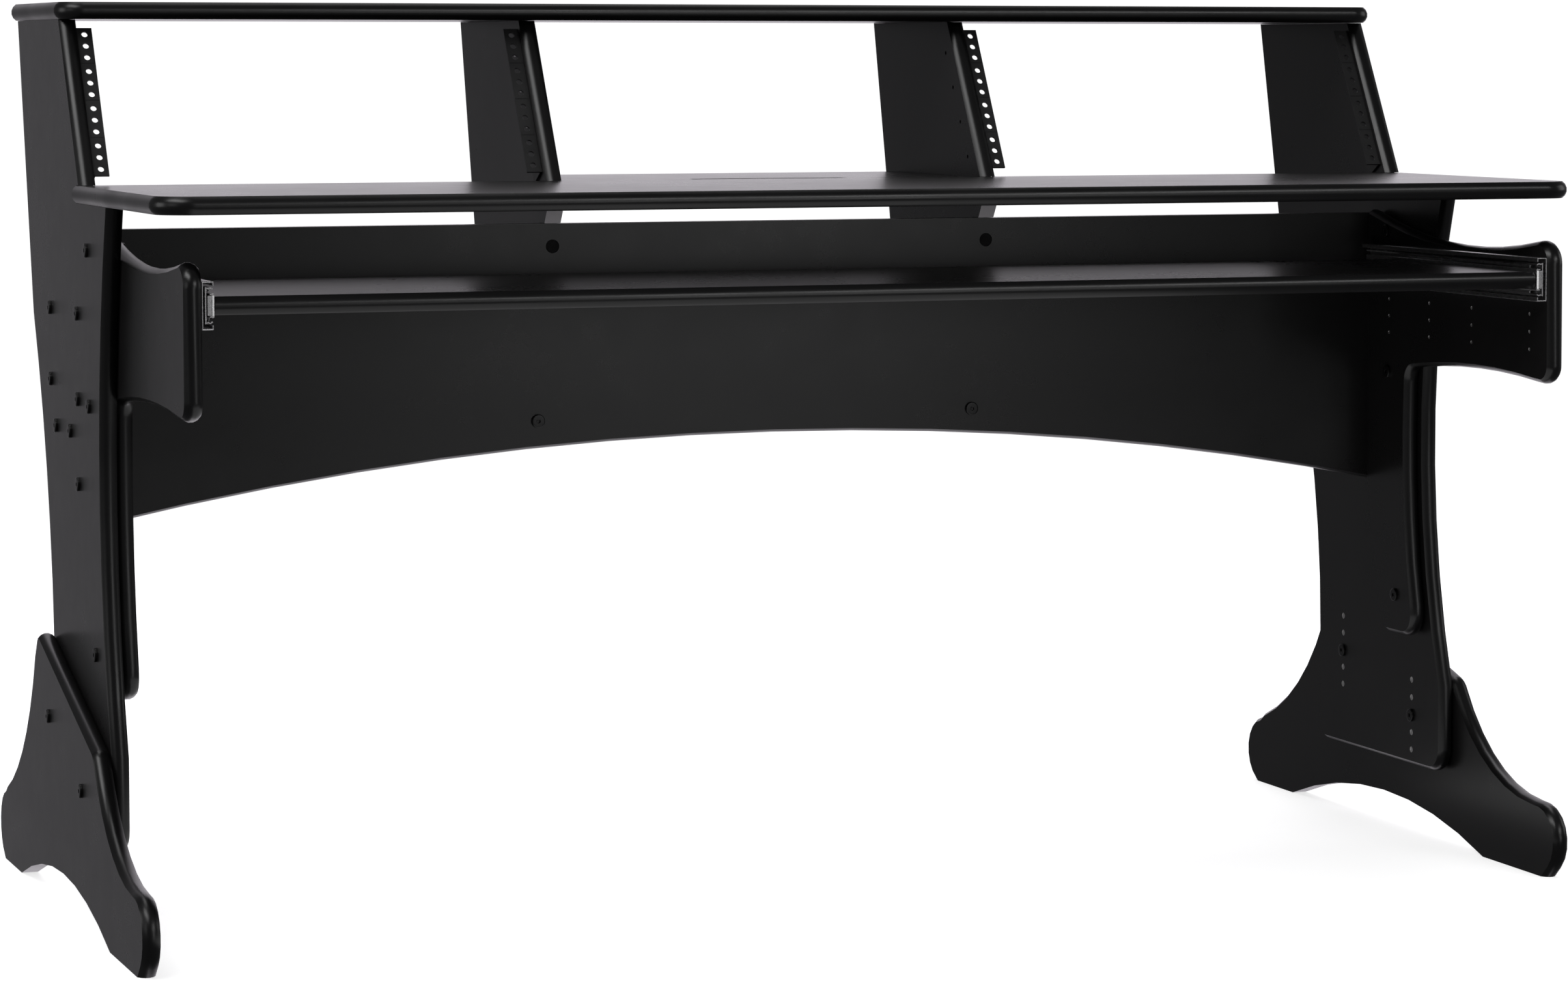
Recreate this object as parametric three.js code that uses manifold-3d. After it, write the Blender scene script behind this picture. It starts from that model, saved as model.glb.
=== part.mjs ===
// Computer desk with a rack hutch and a sliding keyboard tray.
// Millimetres. X runs left to right, -Y is the front, +Z is up, and the floor is Z = 0.
import * as THREE from 'three';
import { mergeVertices } from 'three/addons/utils/BufferGeometryUtils.js';
import Module from 'manifold-3d';

const wasm = await Module();
wasm.setup();

// ---------------------------------------------------------------- driving sizes

const GAP = 0.3; // clearance left between pieces that touch
const BOARD = 18; // thickness of every board
const CROWN = 5; // how far a shaped edge bows out beyond the flat faces

const PANEL_OUTER = 760.8; // centre line to the outer face of a side panel
const PANEL_INNER = PANEL_OUTER - BOARD;
const DIVIDER_OUTER = 259.6; // centre line to the outer face of a divider
const DIVIDER_INNER = DIVIDER_OUTER - BOARD;
const ARM_OUTER = PANEL_INNER - GAP;
const ARM_INNER = ARM_OUTER - BOARD;
const FOOT_INNER = PANEL_OUTER + GAP;
const FOOT_OUTER = FOOT_INNER + BOARD;

const SHELF_BOTTOM = 931; // underside of the top shelf
const SHELF_FRONT = 86.7;
const SHELF_BACK = 375;
const SHELF_CORNER = 22;

const DESK_BOTTOM = 740.7; // underside of the desktop
const DESK_FRONT = -397.3;
const DESK_BACK = 20.7;
const DESK_CORNER = 33;
const FLOOR_BACK = 270.7; // back of the board between the two dividers
const CABLE_SLOT = 178; // length of the cable slot in front of that board
const CABLE_SLOT_DEPTH = 20;

const PANEL_TOP = SHELF_BOTTOM - GAP;
const LEDGE = DESK_BOTTOM - GAP; // floor of the slots that hold the desktop's back edge
const SLOT_TOP = DESK_BOTTOM + BOARD + GAP;
const SLOT_END = DESK_BACK + GAP;
const RACK_TILT = 30; // slope of the rack front from the vertical, in degrees
const RACK_FRONT = 109.5; // front of the uprights at the top
const SWEEP = 860; // radius of the long curves of the side panel
const ARCH = 770; // radius of the arch under the foot
const ARCH_CROWN = 39.3; // and the height of its middle
const WAIST = 215; // height where the panel's back curve starts
const PANEL_FOOT = 89;
const PANEL_BACK_LOW = 170.7;
const PANEL_KINK = 182;
const BACK_CURVE_TOP = 615;
const BACK_TOP = 343.6;

const APRON_FRONT = 14.7; // front face of the modesty panel
const APRON_BACK = APRON_FRONT + BOARD;
const APRON_TOP = 713;
const APRON_CROWN = 481; // height of the arched lower edge at the middle
const APRON_END = 404; // and at both ends
const APRON_BOW = 3.3; // how far that edge is rounded over

const TROUGH_BOTTOM = 492;
const TROUGH_TOP = 653;
const TROUGH_BACK = 181;
const TONGUE_BOTTOM = 585; // lower end of the dividers, inside the cable trough

const SLIDE_HEIGHT = 46.4; // drawer slide, outer member
const SLIDE_THICK = 12.7;
const SLIDE_AXIS = 654.8;
const SLIDE_FRONT = -406.7;
const SLIDE_BACK = 6.7;
const SHEET = 1.2; // steel of the slides

const TRAY_FRONT = -401.3;
const TRAY_BACK = -69.3;
const TRAY_BOTTOM = 645.3;

const UNIT = 44.45; // one rack unit
const RAIL_UNITS = 4;
const HOLE_STEPS = [0, 13.87, 27.74]; // hole places within one unit
const RAIL_LENGTH = 177;
const RAIL_END = 7.8; // top hole to the upper end of the rail
const RAIL_WIDTH = 17;
const RAIL_DEPTH = 27;
const RAIL_SHEET = 2;
const RAIL_HOLE = 3.35; // radius
const RAIL_HOLE_INSET = 9; // from the upright's face to the hole centres
const TOP_HOLE = { y: 105.8, z: 915 };

const SHANK = 3; // bolt shank radius
const BORE = SHANK + GAP;
const HEAD = 7.25; // bolt head radius
const HEAD_HEIGHT = 2.8;
const BOLT_SIDES = 16;

// ---------------------------------------------------------------- materials

function finish(color, roughness, metalness) {
  return new THREE.MeshStandardMaterial({ color, roughness, metalness });
}

const boardBlack = () => finish(0x242326, 0.55, 0);
const railBlack = () => finish(0x1c1c1e, 0.45, 0.3);
const zinc = () => finish(0xb4b3b6, 0.32, 0.9);
const boltBlack = () => finish(0x131314, 0.38, 0.5);

// ---------------------------------------------------------------- outlines

const SHAPED = 1; // the edge that leaves a corner is bowed across the board
const SQUARE = 0; // the edge that leaves a corner is cut square

function corner(u, v, radius = 0, edge = SHAPED) {
  return { u, v, radius, edge };
}

// Points along a circle from one angle to another, in degrees.
function arc(cu, cv, radius, from, to, steps, edge = SHAPED) {
  const points = [];
  for (let i = 0; i <= steps; i += 1) {
    const a = THREE.MathUtils.degToRad(from + ((to - from) * i) / steps);
    points.push(corner(cu + radius * Math.cos(a), cv + radius * Math.sin(a), 0, edge));
  }
  return points;
}

// Points on a circle between two heights, on its right (+1) or left (-1) side.
function sideArc(cu, cv, radius, v0, v1, side, steps, edge = SHAPED) {
  const angle = (v) => THREE.MathUtils.radToDeg(Math.asin((v - cv) / radius));
  const flip = (a) => (side > 0 ? a : 180 - a);
  return arc(cu, cv, radius, flip(angle(v0)), flip(angle(v1)), steps, edge);
}

// Replaces each corner that has a radius by a fillet.
function filleted(corners) {
  const out = [];
  corners.forEach((c, i) => {
    const before = corners[(i + corners.length - 1) % corners.length];
    const after = corners[(i + 1) % corners.length];
    if (c.radius === 0) {
      out.push({ u: c.u, v: c.v, edge: c.edge });
      return;
    }
    const here = new THREE.Vector2(c.u, c.v);
    const back = new THREE.Vector2(before.u, before.v).sub(here).normalize();
    const ahead = new THREE.Vector2(after.u, after.v).sub(here).normalize();
    const half = Math.acos(THREE.MathUtils.clamp(back.dot(ahead), -1, 1)) / 2;
    const reach = c.radius / Math.tan(half);
    const middle = back.clone().add(ahead).normalize().multiplyScalar(c.radius / Math.sin(half));
    const centre = here.clone().add(middle);
    const first = here.clone().addScaledVector(back, reach).sub(centre);
    const last = here.clone().addScaledVector(ahead, reach).sub(centre);
    const sweep = Math.atan2(first.cross(last), first.dot(last));
    const steps = Math.max(2, Math.round(Math.abs(sweep) / THREE.MathUtils.degToRad(8)));
    for (let k = 0; k <= steps; k += 1) {
      const spoke = first.clone().rotateAround(new THREE.Vector2(), (sweep * k) / steps);
      const share = (k + 0.5) / steps;
      const edge = k === steps ? c.edge : THREE.MathUtils.lerp(before.edge, c.edge, share);
      out.push({ u: centre.x + spoke.x, v: centre.y + spoke.y, edge });
    }
  });
  return out;
}

// How each outline point moves when the shaped edges step out by 1 mm.
function outwardSteps(points) {
  return points.map((p, i) => {
    const a = points[(i + points.length - 1) % points.length];
    const b = points[(i + 1) % points.length];
    const n1 = new THREE.Vector2(p.v - a.v, a.u - p.u).normalize();
    const n2 = new THREE.Vector2(b.v - p.v, p.u - b.u).normalize();
    const turn = n1.cross(n2);
    if (Math.abs(turn) < 0.35) {
      const mid = n1.clone().add(n2).normalize();
      return mid.multiplyScalar((a.edge + p.edge) / 2 / mid.dot(n1));
    }
    return new THREE.Vector2(
      (a.edge * n2.y - p.edge * n1.y) / turn,
      (p.edge * n1.x - a.edge * n2.x) / turn,
    );
  });
}

// ---------------------------------------------------------------- solids

// A board lying on w = 0 with its outline, anticlockwise, in the u-v plane.
function board(corners, thickness = BOARD) {
  const points = filleted(corners);
  const steps = outwardSteps(points);
  const shaped = points.some((p) => p.edge > 0);
  const levels = shaped ? 5 : 1;
  const half = thickness / 2;
  const radius = (half * half + CROWN * CROWN) / (2 * CROWN);
  const widest = Math.asin(half / radius);
  const position = [];
  for (let level = 0; level <= levels; level += 1) {
    const angle = widest * ((2 * level) / levels - 1);
    const out = shaped ? radius * Math.cos(angle) - (radius - CROWN) : 0;
    const w = shaped ? half + radius * Math.sin(angle) : thickness * level;
    points.forEach((p, i) => position.push(p.u + steps[i].x * out, p.v + steps[i].y * out, w));
  }
  const index = [];
  const count = points.length;
  for (let level = 0; level < levels; level += 1) {
    for (let i = 0; i < count; i += 1) {
      const a = level * count + i;
      const b = level * count + ((i + 1) % count);
      index.push(a, b, b + count, a, b + count, a + count);
    }
  }
  const flat = points.map((p) => new THREE.Vector2(p.u, p.v));
  for (const [a, b, c] of THREE.ShapeUtils.triangulateShape(flat, [])) {
    const top = levels * count;
    index.push(a, c, b, a + top, b + top, c + top);
  }
  return solid(position, index);
}

// A bar with straight sides: the outline, anticlockwise, drawn out along w.
function bar(outline, length) {
  return board(outline.map(([u, v]) => corner(u, v, 0, SQUARE)), length);
}

function solid(position, index) {
  const geometry = new THREE.BufferGeometry();
  geometry.setAttribute('position', new THREE.Float32BufferAttribute(position, 3));
  geometry.setIndex(index);
  geometry.computeVertexNormals();
  return geometry;
}

function toManifold(geometry) {
  const bare = new THREE.BufferGeometry();
  bare.setAttribute('position', geometry.getAttribute('position').clone());
  bare.setIndex(geometry.getIndex());
  const merged = mergeVertices(bare, 1e-4);
  const mesh = new wasm.Mesh({
    numProp: 3,
    vertProperties: Float32Array.from(merged.getAttribute('position').array),
    triVerts: Uint32Array.from(merged.getIndex().array),
  });
  return new wasm.Manifold(mesh);
}

function fromManifold(shape) {
  const mesh = shape.getMesh();
  return solid(Array.from(mesh.vertProperties), Array.from(mesh.triVerts));
}

function cut(geometry, tools) {
  let shape = toManifold(geometry);
  for (const tool of tools) {
    shape = shape.subtract(toManifold(tool));
  }
  return fromManifold(shape);
}

function join(geometries) {
  let shape = toManifold(geometries[0]);
  for (const geometry of geometries.slice(1)) {
    shape = shape.add(toManifold(geometry));
  }
  return fromManifold(shape);
}

// A pin along w from w0 to w1, to drill with.
function pin(u, v, radius, w0, w1, sides = BOLT_SIDES) {
  const geometry = new THREE.CylinderGeometry(radius, radius, w1 - w0, sides);
  geometry.rotateX(Math.PI / 2);
  geometry.translate(u, v, (w0 + w1) / 2);
  return geometry;
}

function block(u0, u1, v0, v1, w0, w1) {
  const geometry = new THREE.BoxGeometry(u1 - u0, v1 - v0, w1 - w0);
  geometry.translate((u0 + u1) / 2, (v0 + v1) / 2, (w0 + w1) / 2);
  return geometry;
}

// Drills straight through a board.
function drilled(geometry, holes) {
  return cut(geometry, holes.map(([u, v, r, sides]) => pin(u, v, r, -1, BOARD + 1, sides)));
}

// ---------------------------------------------------------------- placing

const desk = new THREE.Group();
desk.name = 'computer_desk';

const AXES = {
  flat: new THREE.Quaternion(),
  // u is Y, v is Z and w is X: side boards
  side: new THREE.Quaternion().setFromRotationMatrix(new THREE.Matrix4().makeBasis(
    new THREE.Vector3(0, 1, 0),
    new THREE.Vector3(0, 0, 1),
    new THREE.Vector3(1, 0, 0),
  )),
  // u is X, v is Z and w is -Y: boards that face the front
  front: new THREE.Quaternion().setFromRotationMatrix(new THREE.Matrix4().makeBasis(
    new THREE.Vector3(1, 0, 0),
    new THREE.Vector3(0, 0, 1),
    new THREE.Vector3(0, -1, 0),
  )),
};

function place(parent, name, geometry, material, axes, x, y, z) {
  const mesh = new THREE.Mesh(geometry, material);
  mesh.name = name;
  mesh.quaternion.copy(axes);
  mesh.position.set(x, y, z);
  parent.add(mesh);
  return mesh;
}

// Places the same side board on the left and on the right.
function placePair(parent, name, geometry, material, inner) {
  place(parent, `${name}_left`, geometry, material, AXES.side, -inner - BOARD, 0, 0);
  place(parent, `${name}_right`, geometry.clone(), material, AXES.side, inner, 0, 0);
}

// ---------------------------------------------------------------- bolt pattern

const ARM_BOLTS = [[-31.2, 693.5], [-36.2, 533.5], [-58.2, 280]];
const APRON_BOLTS = [[23.7, 626], [23.7, 537], [23.7, 448.5]];
const TROUGH_BACK_BOLTS = [[172, 625], [172, 549]];
const TROUGH_FLOOR_BOLTS = [[143.7, 501], [65.7, 501]];
const FOOT_BOLTS = [[109.8, 195.5], [-65.2, 141.7]];
// Spare holes above and below each foot bolt, as steps up from it.
const SPARE_HOLES = [[40.5, 20.5, -19.8, -39.8], [40.7, 20.5, -19.7, -39.6]];
const SPARE_RADIUS = 3.8;
// Blind spare holes on the inner faces of the arms.
const SPARE_COLUMNS = [-38.7, -137, -237.2, -368.7];
const SPARE_ROWS = [616.3, 597.3, 578.3];
const SPARE_BORE = 2.3; // radius
const SPARE_DEPTH = 11;
const LACING_X = [-267.8, 233.6]; // bolts low in the modesty panel
const LACING_Z = 501;
const CAM_X = [-250.6, 250.6]; // recessed caps over the dividers' edges
const CAM_Z = 688.5;
const END_DEPTH = 30; // how deep a bolt enters a board's end

// ---------------------------------------------------------------- boards

function topShelf() {
  return board([
    corner(-PANEL_OUTER, SHELF_FRONT, SHELF_CORNER),
    corner(PANEL_OUTER, SHELF_FRONT, SHELF_CORNER),
    corner(PANEL_OUTER, SHELF_BACK, SHELF_CORNER),
    corner(-PANEL_OUTER, SHELF_BACK, SHELF_CORNER),
  ]);
}

// The top is recessed slightly where it runs through the slots of the uprights.
function desktop() {
  const top = board([
    corner(-PANEL_OUTER, DESK_FRONT, DESK_CORNER),
    corner(PANEL_OUTER, DESK_FRONT, DESK_CORNER),
    corner(PANEL_OUTER, DESK_BACK, 0, SQUARE),
    corner(-PANEL_OUTER, DESK_BACK),
  ]);
  const front = rackFront(SLOT_TOP) - CROWN - 1;
  const seat = (x0, x1) => block(x0, x1, front, DESK_BACK + 1, BOARD - GAP, BOARD + 1);
  return cut(top, [
    seat(-PANEL_OUTER - CROWN - 1, -ARM_OUTER),
    seat(-DIVIDER_OUTER - GAP, -DIVIDER_INNER + GAP),
    seat(DIVIDER_INNER - GAP, DIVIDER_OUTER + GAP),
    seat(ARM_OUTER, PANEL_OUTER + CROWN + 1),
  ]);
}

function rearFloor() {
  const half = DIVIDER_INNER - GAP;
  const front = DESK_BACK + GAP;
  const slot = CABLE_SLOT / 2;
  return board([
    corner(-half, front, 0, SQUARE),
    corner(-slot, front, 0, SQUARE),
    corner(-slot, front + CABLE_SLOT_DEPTH, 8, SQUARE),
    corner(slot, front + CABLE_SLOT_DEPTH, 8, SQUARE),
    corner(slot, front, 0, SQUARE),
    corner(half, front, 0, SQUARE),
    corner(half, FLOOR_BACK, 0, SQUARE),
    corner(-half, FLOOR_BACK, 0, SQUARE),
  ]);
}

// Front of the uprights at a height within the rack.
function rackFront(z) {
  return RACK_FRONT - (PANEL_TOP - z) * Math.tan(THREE.MathUtils.degToRad(RACK_TILT));
}

// Back of the uprights above the waist curve.
function uprightBack(z) {
  const share = (z - BACK_CURVE_TOP) / (PANEL_TOP - BACK_CURVE_TOP);
  return THREE.MathUtils.lerp(269.4, BACK_TOP, share);
}

// The slot in the front of an upright that holds the desktop's back edge.
function deskSlot() {
  return [
    corner(rackFront(SLOT_TOP), SLOT_TOP, 0, SQUARE),
    corner(SLOT_END, SLOT_TOP, 0, SQUARE),
    corner(SLOT_END, LEDGE, 0, SQUARE),
  ];
}

function sidePanel() {
  const frontCurve = sideArc(-944.3, 460, SWEEP, LEDGE, PANEL_KINK, 1, 9);
  const backCurve = sideArc(PANEL_BACK_LOW + SWEEP, WAIST, SWEEP, WAIST, BACK_CURVE_TOP, -1, 7, SQUARE);
  const outline = [
    corner(RACK_FRONT, PANEL_TOP),
    ...deskSlot(),
    ...frontCurve,
    corner(-130.6, PANEL_FOOT, 22),
    corner(PANEL_BACK_LOW, PANEL_FOOT, 15, SQUARE),
    ...backCurve,
    corner(BACK_TOP, PANEL_TOP, 0, SQUARE),
  ];
  const holes = [];
  const bolts = [ARM_BOLTS, APRON_BOLTS, TROUGH_BACK_BOLTS, TROUGH_FLOOR_BOLTS, FOOT_BOLTS];
  for (const [y, z] of bolts.flat()) {
    holes.push([y, z, BORE, BOLT_SIDES]);
  }
  FOOT_BOLTS.forEach(([y, z], column) => {
    for (const step of SPARE_HOLES[column]) {
      holes.push([y, z + step, SPARE_RADIUS, 12]);
    }
  });
  return drilled(board(outline), holes);
}

function divider() {
  const front = APRON_BACK + GAP;
  const tongueBack = TROUGH_BACK - BOARD - GAP;
  const outline = [
    corner(RACK_FRONT, PANEL_TOP),
    ...deskSlot(),
    corner(-4.4, LEDGE, 0, SQUARE),
    corner(APRON_FRONT - GAP, APRON_TOP + GAP, 0, SQUARE),
    corner(front, APRON_TOP + GAP, 0, SQUARE),
    corner(front, TONGUE_BOTTOM, 0, SQUARE),
    corner(tongueBack, TONGUE_BOTTOM, 0, SQUARE),
    corner(tongueBack, TROUGH_TOP + GAP, 0, SQUARE),
    corner(uprightBack(TROUGH_TOP + GAP), TROUGH_TOP + GAP, 0, SQUARE),
    corner(BACK_TOP, PANEL_TOP, 0, SQUARE),
  ];
  // rail screw holes, one to each rack unit, and the bore for the cam bolt
  const tools = [];
  const slope = THREE.MathUtils.degToRad(RACK_TILT);
  for (let unit = 0; unit < RAIL_UNITS; unit += 1) {
    const down = 22.2 + unit * UNIT;
    const y = TOP_HOLE.y + 18.5 - down * Math.sin(slope);
    const z = TOP_HOLE.z - down * Math.cos(slope);
    tools.push(pin(y, z, 2.2, -1, BOARD + 1, 10));
  }
  const bore = new THREE.CylinderGeometry(BORE, BORE, END_DEPTH + 1, BOLT_SIDES);
  bore.rotateZ(Math.PI / 2);
  bore.translate(front + (END_DEPTH - 1) / 2, CAM_Z, BOARD / 2);
  tools.push(bore);
  return cut(board(outline), tools);
}

// Bolt holes that enter a front-facing board through its two ends.
function endBores(half, places) {
  const tools = [];
  for (const [v, w] of places) {
    for (const side of [-1, 1]) {
      const bore = new THREE.CylinderGeometry(BORE, BORE, END_DEPTH + 2, BOLT_SIDES);
      bore.rotateZ(Math.PI / 2);
      bore.translate(side * (half - END_DEPTH / 2 + 0.5), v, w);
      tools.push(bore);
    }
  }
  return tools;
}

function modestyPanel() {
  const half = PANEL_INNER - GAP;
  const rise = APRON_CROWN - APRON_END;
  const radius = (half * half + rise * rise) / (2 * rise);
  const span = THREE.MathUtils.radToDeg(Math.asin(half / radius));
  const top = APRON_CROWN + APRON_BOW;
  const arch = arc(0, top - radius, radius, 90 + span, 90 - span, 16, APRON_BOW / CROWN);
  arch[arch.length - 1].edge = SQUARE; // the end next to the side panel
  const outline = [
    ...arch,
    corner(half, APRON_TOP, 0, SQUARE),
    corner(-half, APRON_TOP, 0, SQUARE),
  ];
  const tools = endBores(half, APRON_BOLTS.map(([, z]) => [z, BOARD / 2]));
  for (const x of CAM_X) {
    tools.push(pin(x, CAM_Z, BORE, -1, BOARD + 1));
    tools.push(pin(x, CAM_Z, HEAD + GAP, BOARD - 4, BOARD + 1));
  }
  for (const x of LACING_X) {
    tools.push(pin(x, LACING_Z, BORE, -1, BOARD + 1));
  }
  return cut(board(outline), tools);
}

function troughFloor() {
  const half = PANEL_INNER - GAP;
  const depth = TROUGH_BACK - BOARD - APRON_BACK - 2 * GAP;
  const slab = block(-half, half, 0, depth, 0, BOARD);
  const tools = [];
  for (const [y] of TROUGH_FLOOR_BOLTS) {
    const places = [[y - APRON_BACK - GAP, BOARD / 2]];
    tools.push(...endBores(half, places));
  }
  for (const x of LACING_X) {
    const bore = new THREE.CylinderGeometry(BORE, BORE, END_DEPTH + 2, BOLT_SIDES);
    bore.translate(x, END_DEPTH / 2 - 0.5, BOARD / 2);
    tools.push(bore);
  }
  return cut(slab, tools);
}

function troughBack() {
  const half = PANEL_INNER - GAP;
  const slab = block(-half, half, TROUGH_BOTTOM, TROUGH_TOP, 0, BOARD);
  return cut(slab, endBores(half, TROUGH_BACK_BOLTS.map(([, z]) => [z, BOARD / 2])));
}

// Rows of blind holes for other tray heights, bored from the face next to the slide.
function spareRows(side) {
  const tools = [];
  for (const y of SPARE_COLUMNS) {
    for (const z of SPARE_ROWS) {
      const ends = side > 0 ? [-1, SPARE_DEPTH] : [BOARD - SPARE_DEPTH, BOARD + 1];
      tools.push(pin(y, z, SPARE_BORE, ...ends, 10));
    }
  }
  return tools;
}

function arm(side) {
  const back = APRON_FRONT - GAP;
  const top = arc(-236.6, 1628.6, 949.6, -75.3, -98.7, 9);
  const under = arc(-247.6, -825.4, 1380, 95.5, 84.4, 6);
  const shin = sideArc(-944.3, 460, SWEEP + 10, 516, 270, 1, 5);
  const outline = [
    corner(back, 711.8),
    ...top,
    corner(-407.3, 694, 20),
    corner(-407.3, 546.7, 15),
    ...under,
    corner(-77, 544.5, 22),
    ...shin,
    corner(-97.5, 240, 20),
    corner(-24, 240, 18, SQUARE),
    corner(back, 400, 0, SQUARE),
  ];
  const holes = ARM_BOLTS.map(([y, z]) => [y, z, BORE, BOLT_SIDES]);
  return cut(drilled(board(outline), holes), spareRows(side));
}

function foot() {
  const instep = arc(-323.3, 306.7, 230.7, -32.8, -88.3, 7);
  const frontToe = arc(-328.3, 39.5, 36, 96, 228, 7);
  const span = THREE.MathUtils.radToDeg(Math.acos(1 - ARCH_CROWN / ARCH));
  const arch = arc(38, ARCH_CROWN - ARCH, ARCH, 90 + span, 90 - span, 8, SQUARE);
  const rearToe = arc(369.8, 38, 37.5, -48, 84, 7);
  const heel = arc(460.1, 364, 297.8, 251, 202.4, 7);
  const outline = [
    corner(168, 273.5, 8),
    corner(-123.5, 186.8, 12),
    ...instep,
    ...frontToe,
    corner(-338, 0, 0, SQUARE),
    ...arch,
    corner(380, 0),
    ...rearToe,
    ...heel,
  ];
  return drilled(board(outline), FOOT_BOLTS.map(([y, z]) => [y, z, BORE, BOLT_SIDES]));
}

function tray() {
  const half = ARM_INNER - SLIDE_THICK - 2 * GAP;
  return board([
    corner(-half, TRAY_FRONT),
    corner(half, TRAY_FRONT, 0, SQUARE),
    corner(half, TRAY_BACK, 0, SQUARE),
    corner(-half, TRAY_BACK, 0, SQUARE),
  ]);
}

// ---------------------------------------------------------------- drawer slides

// Sections are drawn for the right side: u is depth from the arm's face towards
// the tray and v is height from the slide's axis.
function outerSection() {
  const h = SLIDE_HEIGHT / 2;
  const w = SLIDE_THICK - 1.1;
  return [
    [GAP, -h], [w, -h], [w, -h + 4.3], [w - SHEET, -h + 4.3], [w - SHEET, -h + SHEET],
    [GAP + SHEET, -h + SHEET], [GAP + SHEET, h - SHEET], [w - SHEET, h - SHEET],
    [w - SHEET, h - 4.3], [w, h - 4.3], [w, h], [GAP, h],
  ];
}

function middleSection() {
  const upper = [[3.8, 17.8], [6.2, 16.9], [9.2, 17.6], [11.4, 16.2]];
  const lower = [[10.8, 15.1], [9, 16.3], [6.3, 15.6], [5, 16.3]];
  const mirror = ([u, v]) => [u, -v];
  return [
    ...upper.map(mirror), ...lower.map(mirror),
    ...lower.slice().reverse(), ...upper.slice().reverse(),
  ];
}

function innerSection() {
  const w = SLIDE_THICK - GAP;
  const upper = [[w, 11.2], [10.6, 12], [9.4, 11.2], [7.9, 11.6]];
  const lower = [[7.9, 10.4], [9.4, 10], [w - SHEET, 10.2]];
  const mirror = ([u, v]) => [u, -v];
  return [
    ...lower.map(mirror).slice().reverse(), ...upper.map(mirror).slice().reverse(),
    ...upper, ...lower,
  ];
}

// A slide member along Y; the section is flipped for the left side.
function slideMember(section, side, length) {
  const flipped = side > 0
    ? section.map(([u, v]) => [-u, v]).reverse()
    : section;
  return bar(flipped, length);
}

function addSlide(fixedPart, name, section, side, front, back, extra) {
  const body = slideMember(section, side, back - front);
  const geometry = extra ? join([body, extra]) : body;
  const x = side * ARM_INNER;
  place(fixedPart, name, geometry, zinc(), AXES.front, x, back, SLIDE_AXIS);
}

// The stop that closes the front end of the inner member.
function frontStop(side, length) {
  const w = SLIDE_THICK - GAP - SHEET / 2;
  const u = side > 0 ? [-w, -5.8] : [5.8, w];
  return block(u[0], u[1], -9.6, 9.6, length - SHEET, length);
}

// ---------------------------------------------------------------- rack rails

// u is away from the upright, v is up the slope and w is out of the rail's front.
function rackRail(side) {
  const thick = RAIL_SHEET;
  const section = [
    [GAP, 0], [GAP, -RAIL_DEPTH], [GAP + thick, -RAIL_DEPTH], [GAP + thick, -thick],
    [RAIL_WIDTH, -thick], [RAIL_WIDTH, 0],
  ];
  const flipped = side > 0 ? section : section.map(([u, w]) => [-u, w]).reverse();
  const body = bar(flipped, RAIL_LENGTH);
  body.rotateX(Math.PI / 2); // the section's second axis becomes w and its length -v
  body.translate(0, RAIL_END, 0);
  const tools = [];
  for (let unit = 0; unit < RAIL_UNITS; unit += 1) {
    for (const step of HOLE_STEPS) {
      tools.push(pin(side * RAIL_HOLE_INSET, -unit * UNIT - step, RAIL_HOLE, -4, 1, 12));
    }
  }
  return cut(body, tools);
}

function addRail(parent, name, face, side) {
  const slope = THREE.MathUtils.degToRad(RACK_TILT);
  const mesh = place(parent, name, rackRail(side), railBlack(), AXES.flat, face, TOP_HOLE.y, TOP_HOLE.z);
  mesh.quaternion.setFromRotationMatrix(new THREE.Matrix4().makeBasis(
    new THREE.Vector3(1, 0, 0),
    new THREE.Vector3(0, Math.sin(slope), Math.cos(slope)),
    new THREE.Vector3(0, -Math.cos(slope), Math.sin(slope)),
  ));
}

// ---------------------------------------------------------------- bolts

const HEAD_PROFILE = [[HEAD, 0], [HEAD, HEAD_HEIGHT * 0.45], [HEAD * 0.74, HEAD_HEIGHT]];

// A bolt along +Z with its head standing on z = 0; a second head may close it.
function bolt(length, twoHeads) {
  const profile = [[0, HEAD_HEIGHT], ...HEAD_PROFILE.slice().reverse(), [SHANK, 0]];
  if (twoHeads) {
    profile.push([SHANK, -length]);
    profile.push(...HEAD_PROFILE.map(([r, h]) => [r, -length - h]));
    profile.push([0, -length - HEAD_HEIGHT]);
  } else {
    profile.push([SHANK, -length]);
    profile.push([0, -length]);
  }
  const points = profile.reverse().map(([r, h]) => new THREE.Vector2(r, h));
  const body = new THREE.LatheGeometry(points, BOLT_SIDES);
  body.rotateX(Math.PI / 2);
  const sockets = [pin(0, 0, 2.9, HEAD_HEIGHT - 1.8, HEAD_HEIGHT + 1, 6)];
  if (twoHeads) {
    sockets.push(pin(0, 0, 2.9, -length - HEAD_HEIGHT - 1, -length - HEAD_HEIGHT + 1.8, 6));
  }
  return cut(body, sockets);
}

const DIRECTIONS = {
  left: new THREE.Quaternion().setFromAxisAngle(new THREE.Vector3(0, 1, 0), -Math.PI / 2),
  right: new THREE.Quaternion().setFromAxisAngle(new THREE.Vector3(0, 1, 0), Math.PI / 2),
  front: new THREE.Quaternion().setFromAxisAngle(new THREE.Vector3(1, 0, 0), Math.PI / 2),
};

// Bolts that go in from the outside of both ends of the desk.
function addSideBolts(parent, name, places, face, length, twoHeads) {
  for (const side of ['left', 'right']) {
    const sign = side === 'right' ? 1 : -1;
    places.forEach(([y, z], i) => {
      const label = `${name}_${side}_${i + 1}`;
      const x = sign * (face + 0.1);
      place(parent, label, bolt(length, twoHeads), boltBlack(), DIRECTIONS[side], x, y, z);
    });
  }
}

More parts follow.
